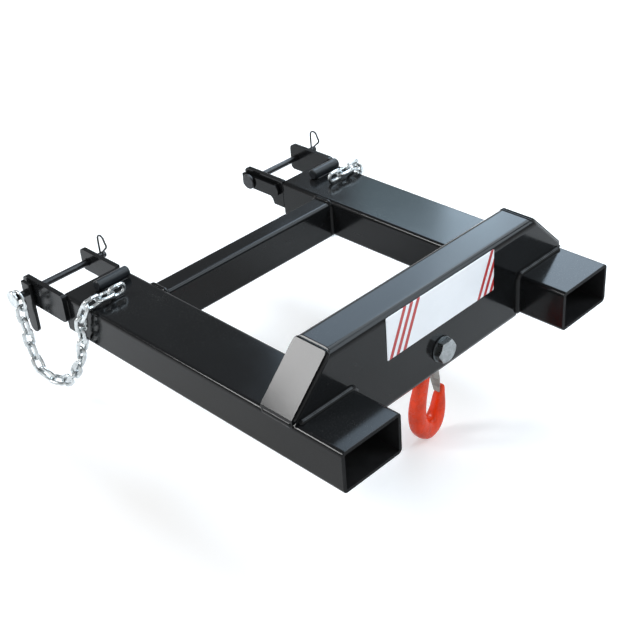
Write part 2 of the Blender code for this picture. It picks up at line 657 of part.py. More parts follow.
def hook_eye():
    """A ring with rounded edges that turns on the bolt."""
    bore = BOLT_DIAMETER / 2 + EYE_RUN
    half = EYE_THICKNESS / 2
    profile = rounded_outline((bore, EYE_OUTER_DIAMETER / 2), (-half, half), EYE_ROUNDING)
    return lathe(profile, "Y")


def latch_lug():
    """A lug on the hook's neck that carries the latch's pin."""
    pivot = (LATCH_PIVOT.x, LATCH_PIVOT.z)
    neck_x = hook_stations()[2][0] * INCH
    outline = arc(pivot, LATCH_LUG_RADIUS, -90, 90, 2 * CORNER_STEPS)
    outline += [(neck_x, pivot[1] + LATCH_LUG_RADIUS), (neck_x, pivot[1] - LATCH_LUG_RADIUS)]
    return prism(outline, "Y", -LATCH_LUG_THICKNESS / 2, LATCH_LUG_THICKNESS / 2)


def make_hook(red, pivot):
    hook = add_object("hook", hook_body(), red, parent=pivot)
    combine(hook, hook_eye(), "UNION")
    combine(hook, latch_lug(), "UNION")
    hole = circle(LATCH_PIN_DIAMETER / 2 + LATCH_RUN, BAR_SIDES, (LATCH_PIVOT.x, LATCH_PIVOT.z))
    combine(hook, prism(hole, "Y", -LATCH_WIDTH, LATCH_WIDTH), "DIFFERENCE")


def make_latch(zinc, hook_pivot):
    """A folded sheet latch: a tapered web with two cheeks that turn on a pin through the lug."""
    reach = LATCH_REST - LATCH_PIVOT
    pivot = add_pivot("latch_axis", LATCH_PIVOT, hook_pivot)
    # Local X runs along the latch to its tip, and local Z points out of the throat
    slope = math.atan2(-reach.z, reach.x)
    half, tip = LATCH_WIDTH / 2, LATCH_TIP_WIDTH / 2
    web_low = max(SPRING_COIL_RADIUS + SPRING_WIRE / 2, LATCH_LUG_RADIUS) + SEAT
    web_high = web_low + LATCH_SHEET
    back = -LATCH_LUG_RADIUS
    web = [(back, -half), (LATCH_CHEEK_LENGTH, -half), (reach.length, -tip),
           (reach.length, tip), (LATCH_CHEEK_LENGTH, half), (back, half)]
    latch = add_object("hook_latch", prism(web, "Z", web_low, web_high), zinc, parent=pivot)
    cheek_top = web_high - SEAT
    cheek = [(back, back), (LATCH_LUG_RADIUS, back), (LATCH_CHEEK_LENGTH, web_low),
             (LATCH_CHEEK_LENGTH, cheek_top), (back, cheek_top)]
    for start in (-half, half - LATCH_SHEET):
        combine(latch, prism(cheek, "Y", start, start + LATCH_SHEET), "UNION")
    hole = circle(LATCH_PIN_DIAMETER / 2 + LATCH_RUN, BAR_SIDES)
    combine(latch, prism(hole, "Y", -LATCH_WIDTH, LATCH_WIDTH), "DIFFERENCE")
    latch.rotation_euler.y = slope

    radius, cap = LATCH_PIN_DIAMETER / 2, LATCH_PIN_HEAD_DIAMETER / 2
    outside = half + LATCH_RUN
    profile = [(cap, -outside - LATCH_PIN_HEAD), (cap, -outside), (radius, -outside),
               (radius, outside), (cap, outside), (cap, outside + LATCH_PIN_HEAD)]
    add_object("latch_pin", turned_bar(profile, "Y"), zinc, parent=pivot)
    make_latch_spring(zinc, pivot, slope)


def make_latch_spring(zinc, pivot, slope):
    """A torsion spring beside the lug: a short leg on the hook's neck, a coil, a leg under the latch."""
    first_y = LATCH_LUG_THICKNESS / 2 + SEAT + SPRING_WIRE / 2
    web_angle = math.pi / 2 - slope
    steps = int(SPRING_TURNS * 12)
    coil = []
    for step in range(steps + 1):
        angle = web_angle + 2 * math.pi * SPRING_TURNS * (1 - step / steps)
        y = first_y + SPRING_PITCH * SPRING_TURNS * step / steps
        coil.append(Vector((SPRING_COIL_RADIUS * math.cos(angle), y, SPRING_COIL_RADIUS * math.sin(angle))))
    first_angle = web_angle + 2 * math.pi * SPRING_TURNS
    lead_in = Vector((-math.sin(first_angle), 0, math.cos(first_angle)))
    lead_out = Vector((math.sin(web_angle), 0, -math.cos(web_angle)))
    path = [coil[0] + lead_in * SPRING_LEG] + coil + [coil[-1] + lead_out * SPRING_LEG]
    turn = path[:13]
    gap = min((a - b).length for a in turn for b in path[13 + 6:]) - SPRING_WIRE
    print(f"latch spring's least gap to itself: {gap * 1000:.2f} mm")
    shape = round_wire(bmesh.new(), path, SPRING_WIRE, 6, Vector((0, 1, 0)))
    add_object("latch_spring", shape, zinc, parent=pivot)


def main():
    clear_scene()
    paint = make_material("black_paint", (0.012, 0.013, 0.014), 0.22, 0.0)
    zinc = make_material("bright_zinc", (0.62, 0.65, 0.66), 0.3, 1.0)
    steel = make_material("dark_steel", (0.05, 0.05, 0.052), 0.4, 1.0)
    red = make_material("orange_red_paint", (0.72, 0.07, 0.02), 0.35, 0.0)
    make_pockets(paint)
    make_beam(paint)
    make_beam_caps(paint)
    make_cross_tube(paint)
    make_ears(paint)
    make_heel_bars(paint)
    make_retaining_pins(paint, steel)
    for side in POCKET_CENTRES:
        make_chain(side, zinc)
    hook_pivot = add_pivot("hook_axis", (0, BEAM_MIDDLE_Y, BOLT_Z))
    make_hook_bolt(zinc, steel, hook_pivot)
    make_hook(red, hook_pivot)
    make_latch(zinc, hook_pivot)


main()
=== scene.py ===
"""Looks of a lifting beam that slides onto a pair of forks, with a latched hook under it.

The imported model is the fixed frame. This file gives its pieces soft edges, welds, real chain
links, a forged hook and painted finishes, and sets up the studio.
"""

import json
import math

import bpy
from bpy.props import FloatProperty, FloatVectorProperty, PointerProperty
from mathutils import Matrix, Vector


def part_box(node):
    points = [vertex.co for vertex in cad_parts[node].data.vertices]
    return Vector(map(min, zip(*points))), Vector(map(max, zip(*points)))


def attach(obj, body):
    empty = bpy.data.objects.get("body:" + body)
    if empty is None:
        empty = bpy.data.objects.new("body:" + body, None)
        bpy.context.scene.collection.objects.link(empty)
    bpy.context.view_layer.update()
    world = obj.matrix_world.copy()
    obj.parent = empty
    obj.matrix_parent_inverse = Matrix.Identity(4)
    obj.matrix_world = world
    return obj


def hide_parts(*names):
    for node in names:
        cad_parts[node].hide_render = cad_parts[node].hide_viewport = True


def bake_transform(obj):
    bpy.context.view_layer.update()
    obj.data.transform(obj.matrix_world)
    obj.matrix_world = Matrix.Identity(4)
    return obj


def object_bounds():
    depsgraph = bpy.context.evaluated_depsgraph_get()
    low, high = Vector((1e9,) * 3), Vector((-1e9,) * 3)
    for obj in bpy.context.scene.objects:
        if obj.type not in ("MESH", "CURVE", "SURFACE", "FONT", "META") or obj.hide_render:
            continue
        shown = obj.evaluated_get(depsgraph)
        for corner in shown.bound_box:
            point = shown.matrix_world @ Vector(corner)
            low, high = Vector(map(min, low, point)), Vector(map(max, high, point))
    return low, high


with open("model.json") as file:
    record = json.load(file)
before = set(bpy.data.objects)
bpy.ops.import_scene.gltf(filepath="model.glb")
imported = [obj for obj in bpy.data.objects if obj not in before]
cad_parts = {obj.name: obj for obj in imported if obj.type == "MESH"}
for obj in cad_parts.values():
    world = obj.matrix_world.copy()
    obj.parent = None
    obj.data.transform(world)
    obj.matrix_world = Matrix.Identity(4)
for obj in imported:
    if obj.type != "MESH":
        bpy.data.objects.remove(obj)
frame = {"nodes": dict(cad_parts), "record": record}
CAD_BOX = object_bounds()

bl_info = {
    "name": "Fork lifting beam",
    "version": (1, 0, 0),
    "blender": (4, 5, 0),
    "location": "View3D > Sidebar > Lifting beam",
    "description": "Builds the finished lifting beam round its packed model",
    "category": "Object",
}

INCH = 0.0254
SIDES = {"left": -1, "right": 1}
# Outer corner radius of the pockets' tube
POCKET_CORNER = 0.32 * INCH
# Rows of faces on a rounded edge, and the bend from which an edge counts as sharp
EDGE_ROWS = 2
SHARP = math.radians(35)
# The same bend on round wire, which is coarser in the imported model
WIRE_SHARP = math.radians(60)


# Settings


def colour_setting(name, description, default):
    return FloatVectorProperty(name=name, description=description, subtype="COLOR", size=3,
                               default=default)


def length_setting(name, description, default):
    return FloatProperty(name=name, description=description, subtype="DISTANCE", default=default)


def angle_setting(name, description, degrees):
    return FloatProperty(name=name, description=description, subtype="ANGLE",
                         default=math.radians(degrees))


class PaintSettings(bpy.types.PropertyGroup):
    """Colours of the painted, plated and printed surfaces."""

    black: colour_setting("Frame paint", "Gloss paint on the steelwork", (0.0075, 0.0081, 0.0087))
    bar: colour_setting("Bar paint", "Duller paint on the round bars", (0.008, 0.010, 0.012))
    overspray: colour_setting("Overspray", "Thin paint on the pockets' insides and sawn ends",
                              (0.013, 0.013, 0.0135))
    red: colour_setting("Hook paint", "Orange red paint on the hook", (0.84, 0.052, 0.009))
    zinc: colour_setting("Zinc", "Bright plating on the chains", (0.62, 0.655, 0.665))
    aged_zinc: colour_setting("Aged zinc", "Duller plating on bolt and nut", (0.28, 0.295, 0.30))
    latch: colour_setting("Latch", "Tarnished plating on the latch", (0.25, 0.235, 0.215))
    washer: colour_setting("Washers", "Dull steel of the washers", (0.10, 0.11, 0.115))
    steel: colour_setting("Dark steel", "Blackened wire and bar", (0.035, 0.036, 0.038))
    sign: colour_setting("Sign", "White ground of the sign", (0.88, 0.90, 0.93))
    sign_mark: colour_setting("Sign marks", "Red bars on the sign", (0.45, 0.02, 0.02))


class EdgeSettings(bpy.types.PropertyGroup):
    """Rounding of cut edges, and sizes of welds."""

    plate: length_setting("Plate edges", "Rounding of sawn and flame cut edges", 0.0010)
    small: length_setting("Small edges", "Rounding of turned and pressed edges", 0.0004)
    weld: length_setting("Weld", "Radius of the main weld beads", 0.0068)
    cap_weld: length_setting("Cap weld", "Radius of the beads round the beam's caps", 0.0042)
    small_weld: length_setting("Small weld", "Radius of the light weld beads", 0.0028)
    ripple: length_setting("Weld ripple", "Distance between the ripples of a weld", 0.0030)


class ChainSettings(bpy.types.PropertyGroup):
    """Sizes of the tether chains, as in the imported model."""

    wire: length_setting("Wire", "Diameter of the links' wire", 0.28 * INCH)
    pitch: length_setting("Pitch", "Inside length of a link", 1.0 * INCH)
    width: length_setting("Width", "Inside width of a link", 0.44 * INCH)
    stride: length_setting("Stride", "Distance between the points where links meet",
                           1.0 * INCH + 0.0008)
    drop: length_setting("Drop", "How far the loop hangs below the pin", 6.7 * INCH)
    left_on_top: length_setting("Left chain on top", "Run on the left pocket's top", 1.5 * INCH)
    right_on_top: length_setting("Right chain on top", "Run on the right pocket's top", 0.9 * INCH)


class SignSettings(bpy.types.PropertyGroup):
    """Place of the sign on the beam's front face, and its slanted bars."""

    left: length_setting("Left end", "Left end, from the beam's middle", -5.1 * INCH)
    right: length_setting("Right end", "Right end, from the beam's middle", 5.35 * INCH)
    bottom: length_setting("Lower edge", "Height of the lower edge", 3.25 * INCH)
    top: length_setting("Upper edge", "Height of the upper edge", 6.33 * INCH)
    proud: length_setting("Thickness", "How far the plate stands before the beam", 0.0010)
    corner: length_setting("Corners", "Radius of the plate's corners", 0.002)
    margin: length_setting("Margin", "White strip outside the bars", 0.004)
    band: length_setting("Band", "Width that the bars take at each end", 0.040)
    pitch: length_setting("Bar pitch", "Distance from bar to bar", 0.016)
    lean: FloatProperty(name="Lean", description="Sideways lean of the bars, over their height",
                        default=0.45)


class StudioSettings(bpy.types.PropertyGroup):
    """Camera and light."""

    place: FloatVectorProperty(name="Camera", description="Place of the camera", size=3,
                               subtype="TRANSLATION", default=(-1.2361, -0.9411, 1.1612))
    azimuth: angle_setting("Azimuth", "Way the camera faces, from +Y", -42.82)
    elevation: angle_setting("Elevation", "Height of the camera over the horizon", 32.94)
    roll: angle_setting("Roll", "Lean of the camera", -4.66)
    lens: FloatProperty(name="Lens", description="Focal length on a 36 mm sensor",
                        subtype="DISTANCE_CAMERA", default=69.12)
    floor_gap: length_setting("Floor gap", "Space between the lowest piece and the floor", 0.004)
    floor_glow: FloatProperty(name="Floor glow", description="Light added to the floor as seen",
                              default=0.35)
    surround: FloatProperty(name="Surround", description="Strength of the light from all round",
                            default=0.30)


# Shader writing


class Value:
    """A shader socket that takes part in Python arithmetic."""

    def __init__(self, tree, socket):
        self.tree = tree
        self.socket = socket

    def math(self, operation, *others):
        node = self.tree.nodes.new("ShaderNodeMath")
        node.operation = operation
        for slot, value in zip(node.inputs, (self, *others)):
            plug(self.tree, slot, value)
        return Value(self.tree, node.outputs[0])

    def __add__(self, other):
        return self.math("ADD", other)

    def __mul__(self, other):
        return self.math("MULTIPLY", other)

    def __sub__(self, other):
        return self.math("SUBTRACT", other)

    def __rsub__(self, other):
        return (self * -1) + other

    def __truediv__(self, other):
        return self.math("DIVIDE", other)

    def __gt__(self, other):
        return self.math("GREATER_THAN", other)

    def __lt__(self, other):
        return self.math("LESS_THAN", other)

    __radd__ = __add__
    __rmul__ = __mul__

    def __rtruediv__(self, other):
        return self.math("POWER", -1.0) * other

    def ramp(self, low, high):
        """0 below low, 1 above high and straight between, where high may be the lower one."""
        scaled = (self - low) / (high - low)
        return scaled.math("MINIMUM", 1.0).math("MAXIMUM", 0.0)


def plug(tree, slot, value):
    if isinstance(value, Value):
        tree.links.new(value.socket, slot)
    else:
        slot.default_value = value


class Finish:
    """A material under construction, with Object coordinates at hand."""

    def __init__(self, name, **fixed):
        self.material = bpy.data.materials.new(name)
        self.material.use_nodes = True
        self.tree = self.material.node_tree
        self.shader = self.tree.nodes["Principled BSDF"]
        for socket, value in fixed.items():
            self.shader.inputs[socket.replace("_", " ")].default_value = value
        self.place = self.node("ShaderNodeTexCoord", output="Object")

    def node(self, kind, options=None, output=0, **sockets):
        """Add a node: its options first, then the values or links of its sockets."""
        node = self.tree.nodes.new(kind)
        for option, value in (options or {}).items():
            setattr(node, option, value)
        for socket, value in sockets.items():
            plug(self.tree, node.inputs[socket.replace("_", " ")], value)
        return Value(self.tree, node.outputs[output])

    def axes(self):
        node = self.node("ShaderNodeSeparateXYZ", Vector=self.place)
        return [Value(self.tree, socket) for socket in node.socket.node.outputs]

    def up(self):
        """How far the surface faces up, from -1 to 1."""
        geometry = self.node("ShaderNodeNewGeometry", output="Normal")
        return self.node("ShaderNodeSeparateXYZ", output="Z", Vector=geometry)

    def noise(self, scale, detail=2.0, roughness=0.5, stretch=(1, 1, 1)):
        place = self.place
        if stretch != (1, 1, 1):
            place = self.node("ShaderNodeMapping", Vector=place, Scale=stretch)
        return self.node("ShaderNodeTexNoise", Vector=place, Scale=scale, Detail=detail,
                         Roughness=roughness)

    def mix(self, factor, first, second):
        """A colour between two colours."""
        node = self.tree.nodes.new("ShaderNodeMix")
        node.data_type = "RGBA"
        plug(self.tree, node.inputs["Factor"], factor)
        for slot, colour in ((node.inputs[6], first), (node.inputs[7], second)):
            plug(self.tree, slot, colour if isinstance(colour, Value) else (*colour, 1.0))
        return Value(self.tree, node.outputs[2])

    def bump(self, height, strength, distance):
        normal = self.node("ShaderNodeBump", Height=height, Strength=strength, Distance=distance)
        self.feed("Normal", normal)

    def feed(self, socket, value):
        plug(self.tree, self.shader.inputs[socket], value)


def seen(tree):
    """1 for rays from the camera and for those that it sees in metal or glass, else 0."""
    path = tree.nodes.new("ShaderNodeLightPath")
    camera, glossy, transmission = (Value(tree, path.outputs[f"Is {kind} Ray"])
                                    for kind in ("Camera", "Glossy", "Transmission"))
    return (camera + glossy + transmission).math("MINIMUM", 1.0)


def shade(colour, factor):
    return tuple(channel * factor for channel in colour)


def gloss_paint(name, colour):
    """Sprayed gloss paint: orange peel, uneven gloss, dust on upper faces and a few scuffs."""
    finish = Finish(name, IOR=1.27)
    dust = finish.noise(900.0, 1.0).ramp(0.66, 0.74) * finish.noise(7.0, 3.0).ramp(0.45, 0.75)
    dust = dust * finish.up().ramp(0.5, 0.9)
    haze = finish.noise(4.0, 4.0, 0.6).ramp(0.3, 0.75)
    scuff = finish.noise(60.0, 3.0, 0.6, (1.0, 0.08, 1.0)).ramp(0.68, 0.78)
    colour = finish.mix(haze * 0.5, shade(colour, 0.8), shade(colour, 1.5))
    colour = finish.mix(dust * 0.25 + scuff * 0.04, colour, (0.30, 0.29, 0.27))
    finish.feed("Base Color", colour)
    finish.feed("Roughness", haze * 0.08 + dust * 0.3 + scuff * 0.12 + 0.10)
    peel = finish.noise(260.0, 2.0)
    wave = finish.noise(18.0, 1.0)
    finish.bump(peel * 0.25 + wave, 0.10, 0.0008)
    return finish.material


def dull_paint(name, colour):
    """The same paint brushed on bar stock: matt enough to catch the whole sky."""
    finish = Finish(name, IOR=1.38)
    streak = finish.noise(120.0, 3.0, 0.6, (0.15, 1.0, 1.0)).ramp(0.35, 0.7)
    finish.feed("Base Color", finish.mix(streak, shade(colour, 0.9), shade(colour, 2.2)))
    finish.feed("Roughness", streak * 0.12 + 0.36)
    finish.bump(finish.noise(300.0, 3.0), 0.12, 0.0004)
    return finish.material


def thin_paint(name, colour):
    """Overspray on the pockets' insides and sawn ends, which hardly shines."""
    finish = Finish(name, IOR=1.12)
    patch = finish.noise(25.0, 3.0, 0.6).ramp(0.3, 0.7)
    finish.feed("Base Color", finish.mix(patch, shade(colour, 0.8), shade(colour, 1.4)))
    finish.feed("Roughness", patch * 0.15 + 0.45)
    finish.bump(finish.noise(300.0, 3.0), 0.12, 0.0004)
    return finish.material


def bright_zinc(name, colour):
    """Bright zinc plating with a faint spangle and dull patches."""
    finish = Finish(name, Metallic=1.0)
    dull = finish.noise(90.0, 4.0, 0.6).ramp(0.35, 0.7)
    grain = finish.noise(700.0, 2.0)
    finish.feed("Base Color", finish.mix(dull, shade(colour, 1.1), shade(colour, 0.72)))
    finish.feed("Roughness", dull * 0.16 + grain * 0.10 + 0.18)
    finish.bump(grain, 0.08, 0.0002)
    return finish.material


def hook_paint(name, colour):
    """Dipped paint over a forging, thin on the high spots, with a skin of scale and a few chips."""
    finish = Finish(name, IOR=1.36)
    patch = finish.noise(38.0, 4.0, 0.6).ramp(0.35, 0.7)
    chips = finish.noise(210.0, 3.0, 0.6).ramp(0.70, 0.74) * finish.noise(30.0).ramp(0.5, 0.65)
    colour = finish.mix(patch, shade(colour, 1.12), shade(colour, 0.72))
    finish.feed("Base Color", finish.mix(chips, colour, (0.09, 0.05, 0.04)))
    finish.feed("Roughness", patch * 0.12 + chips * 0.2 + 0.22)
    finish.bump(finish.noise(320.0, 3.0) * 0.5 + patch, 0.22, 0.0006)
    return finish.material


def dark_steel(name, colour):
    """Blackened steel with an oily, slightly mottled surface."""
    finish = Finish(name, Metallic=0.85)
    mottle = finish.noise(160.0, 4.0, 0.6).ramp(0.3, 0.7)
    finish.feed("Base Color", finish.mix(mottle, shade(colour, 0.7), shade(colour, 1.6)))
    finish.feed("Roughness", mottle * 0.18 + 0.26)
    finish.bump(finish.noise(900.0, 2.0), 0.06, 0.0002)
    return finish.material


def printed_sign(name, low, high, sign, paint):
    """White print, bare in the middle, with slanted red bars at both ends."""
    finish = Finish(name, IOR=1.48)
    x, _, z = finish.axes()
    lean = (z - low.z) * sign.lean
    bars = 0.0
    for slant in ((x - low.x) - lean, (high.x - x) + lean):
        slant = slant - sign.margin
        stripes = (slant / sign.pitch).math("FRACT") < 0.5
        bars = bars + (slant > 0.0) * (slant < sign.band) * stripes
    grime = finish.noise(14.0, 4.0, 0.6).ramp(0.35, 0.8)
    ground = finish.mix(grime, paint.sign, shade(paint.sign, 0.95))
    finish.feed("Base Color", finish.mix(bars.math("MINIMUM", 1.0), ground, paint.sign_mark))
    finish.feed("Roughness", grime * 0.08 + 0.28)
    return finish.material


def finishes():
    """The object's materials by name, made on first use."""
    paint = bpy.context.scene.beam_paint
    makers = {
        "black_paint": (gloss_paint, paint.black),
        "bar_paint": (dull_paint, paint.bar),
        "overspray": (thin_paint, paint.overspray),
        "orange_red_paint": (hook_paint, paint.red),
        "bright_zinc": (bright_zinc, paint.zinc),
        "aged_zinc": (bright_zinc, paint.aged_zinc),
        "latch_steel": (bright_zinc, paint.latch),
        "washer_steel": (dark_steel, paint.washer),
        "dark_steel": (dark_steel, paint.steel),
    }
    made = bpy.data.materials
    return {slot: made.get("finish_" + slot) or maker("finish_" + slot, tuple(colour))
            for slot, (maker, colour) in makers.items()}


# Modelling by hand


def deselect():
    if bpy.context.object and bpy.context.object.mode != "OBJECT":
        bpy.ops.object.mode_set(mode="OBJECT")
    bpy.ops.object.select_all(action="DESELECT")


def activate(piece):
    deselect()
    piece.select_set(True)
    bpy.context.view_layer.objects.active = piece


def added(name):
    """The primitive that was just added, with its place moved into its mesh."""
    piece = bpy.context.object
    piece.name = name
    bpy.ops.object.transform_apply(location=True, rotation=True, scale=True)
    return piece


def pick(piece, kind, test):
    """Leave a piece in edit mode with the vertices, edges or faces selected that pass a test."""
    activate(piece)
    mesh = piece.data
    for elements in (mesh.vertices, mesh.edges, mesh.polygons):
        elements.foreach_set("select", [False] * len(elements))
    if kind == "VERT":
        for vertex in mesh.vertices:
            vertex.select = test(vertex.co)
    elif kind == "EDGE":
        for edge in mesh.edges:
            first, second = (mesh.vertices[index].co for index in edge.vertices)
            edge.select = test(first, second)
    else:
        for face in mesh.polygons:
            face.select = test(face.center, face.normal)
    bpy.ops.object.mode_set(mode="EDIT")
    bpy.ops.mesh.select_mode(type=kind)


def done():
    bpy.ops.object.mode_set(mode="OBJECT")


def modify(piece, kind, **options):
    """Add a modifier and apply it."""
    activate(piece)
    modifier = piece.modifiers.new(kind.title(), kind)
    for option, value in options.items():
        setattr(modifier, option, value)
    bpy.ops.object.modifier_apply(modifier=modifier.name)


def carve(piece, tool, operation="DIFFERENCE"):
    modify(piece, "BOOLEAN", object=tool, operation=operation, solver="EXACT")
    bpy.data.objects.remove(tool)


def soften(piece, width, keep=None):
    """Round a piece's sharp edges, but for those whose ends pass a test, and shade it smooth."""
    pick(piece, "EDGE", lambda a, b: False)
    bpy.ops.mesh.edges_select_sharp(sharpness=SHARP)
    if keep:
        done()
        for edge in piece.data.edges:
            if all(keep(piece.data.vertices[index].co) for index in edge.vertices):
                edge.select = False
        bpy.ops.object.mode_set(mode="EDIT")
    bpy.ops.mesh.bevel(offset=width, segments=EDGE_ROWS, clamp_overlap=True, miter_outer="ARC")
    done()
    smooth(piece)


def smooth(piece, angle=SHARP):
    """Shade a piece smooth between its sharp edges, with its large faces left flat."""
    activate(piece)
    bpy.ops.object.shade_smooth_by_angle(angle=angle)
    modify(piece, "WEIGHTED_NORMAL", weight=100, keep_sharp=True)


def copied(piece, name, place):
    """A copy of a piece with its own mesh, moved and turned by a matrix."""
    activate(piece)
    bpy.ops.object.duplicate()
    copy = bpy.context.object
    copy.name = name
    copy.matrix_world = place
    bpy.ops.object.transform_apply(location=True, rotation=True, scale=True)
    return copy


def traced(node, name):
    """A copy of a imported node, merged into whole faces, to work on."""
    piece = bpy.data.objects.new(name, frame["nodes"][node].data.copy())
    bpy.context.scene.collection.objects.link(piece)
    piece.data.materials.clear()
    pick(piece, "VERT", lambda place: True)
    bpy.ops.mesh.remove_doubles(threshold=1e-5)
    bpy.ops.mesh.dissolve_limited(angle_limit=math.radians(0.4))
    done()
    return piece


def joined(pieces, name):
    activate(pieces[0])
    for piece in pieces:
        piece.select_set(True)
    bpy.ops.object.join()
    pieces[0].name = name
    return pieces[0]


def body_of(node):
    bodies = frame["record"]["behaviour"]["bodies"]
    return next(body for body, nodes in bodies.items() if node in nodes)


def slot_of(node):
    parts = frame["record"]["subparts"]
    return next(part["material_slot"] for part in parts if part["node"] == node)


def fit(piece, node, ride=True, finish=None):
    """Let a piece stand for a node: its place, its body and its finish."""
    slot = slot_of(node)
    piece.data.materials.clear()
    piece.data.materials.append(finishes()[finish or slot])
    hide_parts(node)
    if ride:
        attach(piece, body_of(node))


def turned(name, axis, centre, stations, sides=48):
    """A round bar of (radius, distance along the axis) stations, extruded one after the other."""
    turn = {"X": (0, math.pi / 2, 0), "Y": (-math.pi / 2, 0, 0), "Z": (0, 0, 0)}[axis]
    along = Vector([float(letter == axis) for letter in "XYZ"])
    radius, distance = stations[0]
    deselect()
    bpy.ops.mesh.primitive_circle_add(vertices=sides, radius=radius, fill_type="NGON",
                                      location=centre + along * distance, rotation=turn)
    piece = added(name)
    pick(piece, "FACE", lambda place, normal: True)
    for (before, start), (after, stop) in zip(stations, stations[1:]):
        step = {"value": along * (stop - start)}
        bpy.ops.mesh.extrude_region_move(TRANSFORM_OT_translate=step)
        if after != before:
            bpy.ops.transform.resize(value=[after / before] * 3,
                                     center_override=centre + along * stop)
    bpy.ops.mesh.select_all(action="SELECT")
    bpy.ops.mesh.normals_make_consistent(inside=False)
    done()
    return piece


# Pieces


class BeamOperator:
    """What the operators share."""

    bl_options = {"REGISTER", "UNDO"}


class LIFTBEAM_OT_steelwork(BeamOperator, bpy.types.Operator):
    """Give the pockets, beam, caps, cross tube and ears rounded edges and gloss paint"""

    bl_idname = "lift_beam.steelwork"
    bl_label = "Steelwork"

    def execute(self, context):
        edges = context.scene.beam_edges
        plates = ["lifting_beam", "rear_cross_tube"]
        for side in SIDES:
            plates += [f"{side}_fork_pocket", f"{side}_beam_cap"]
            plates += [f"{side}_heel_ear_west", f"{side}_heel_ear_east", f"{side}_pin_flag"]
        for node in plates:
            piece = traced(node, node + "_finished")
            if node.endswith("pocket"):
                self.pocket(piece, node, edges)
            else:
                soften(piece, edges.plate)
                fit(piece, node)
        return {"FINISHED"}

    def pocket(self, piece, node, edges):
        """Round a tube's outer edges, and give its inside and its sawn ends thin overspray."""
        low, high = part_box(node)
        centre = (low + high) / 2
        # Edges further in than this lie on the tube's inside
        inner = (high - low) / 2 - Vector((1, 0, 1)) * 0.2 * INCH
        soften(piece, edges.plate, keep=lambda place: (
            abs(place.x - centre.x) < inner.x and abs(place.z - centre.z) < inner.z))
        fit(piece, node)
        piece.data.materials.append(finishes()["overspray"])
        for face in piece.data.polygons:
            inward = (centre - face.center) * Vector((1, 0, 1))
            inside = abs(face.normal.y) < 0.5 and inward.dot(face.normal) > 0
            face.material_index = int(inside or abs(face.normal.y) > 0.98)


class LIFTBEAM_OT_round_bars(BeamOperator, bpy.types.Operator):
    """Turn the heel bars and the retaining pins as round bars with broken edges"""

    bl_idname = "lift_beam.round_bars"
    bl_label = "Round bars"

    def execute(self, context):
        edges = context.scene.beam_edges
        for side in SIDES:
            node = f"{side}_heel_bar"
            low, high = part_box(node)
            centre = (low + high) / 2
            radius, half = (high.z - low.z) / 2, (high.x - low.x) / 2
            chamfer = edges.plate * 1.5
            piece = turned(node + "_finished", "X", centre, [
                (radius - chamfer, -half), (radius, chamfer - half),
                (radius, half - chamfer), (radius - chamfer, half)])
            soften(piece, edges.small)
            fit(piece, node, finish="bar_paint")
            self.pin(side, edges)
        return {"FINISHED"}

    def pin(self, side, edges):
        node = f"{side}_heel_pin"
        piece = traced(node, node + "_finished")
        soften(piece, edges.small)
        fit(piece, node)
        if side == "left":
            # Only this pin's head is bright
            piece.data.materials.append(finishes()["bright_zinc"])
            head_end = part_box(node)[0].x + 0.15 * INCH
            for face in piece.data.polygons:
                face.material_index = int(face.center.x < head_end)


class LIFTBEAM_OT_clips(BeamOperator, bpy.types.Operator):
    """Round off the hairpin clips' wire"""

    bl_idname = "lift_beam.clips"
    bl_label = "Hairpin clips"

    def execute(self, context):
        for side in SIDES:
            node = f"{side}_hairpin_clip"
            piece = traced(node, node + "_finished")
            modify(piece, "SUBSURF", levels=2, render_levels=2)
            smooth(piece, WIRE_SHARP)
            fit(piece, node)
        return {"FINISHED"}


class LIFTBEAM_OT_hook(BeamOperator, bpy.types.Operator):
    """Blend the hook's eye, shank and lug into one forging"""

    bl_idname = "lift_beam.hook"
    bl_label = "Hook"

    # The bend starts this far under the latch's pin
    bend_start = 0.35 * INCH
    # Size of the faces that the blended forging is made of
    grain = 0.0012

    def execute(self, context):
        self.forging()
        for node, rounding in (("hook_latch", 0.0006), ("latch_pin", 0.0004)):
            piece = traced(node, node + "_finished")
            soften(piece, rounding)
            fit(piece, node, finish="latch_steel")
        spring = traced("latch_spring", "latch_spring_finished")
        modify(spring, "SUBSURF", levels=2, render_levels=2)
        smooth(spring, WIRE_SHARP)
        fit(spring, "latch_spring")
        return {"FINISHED"}

    def forging(self):
        piece = traced("hook", "hook_forging")
        bend_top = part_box("latch_pin")[0].z - self.bend_start
        pick(piece, "FACE", lambda place, normal: place.z < bend_top)
        bpy.ops.mesh.tris_convert_to_quads(face_threshold=math.radians(40),
                                           shape_threshold=math.radians(60))
        bpy.ops.mesh.subdivide(number_cuts=3, smoothness=0.8)
        done()
        modify(piece, "REMESH", mode="VOXEL", voxel_size=self.grain)
        modify(piece, "SMOOTH", factor=0.5, iterations=20)
        activate(piece)
        bpy.ops.object.shade_smooth()
        fit(piece, "hook")


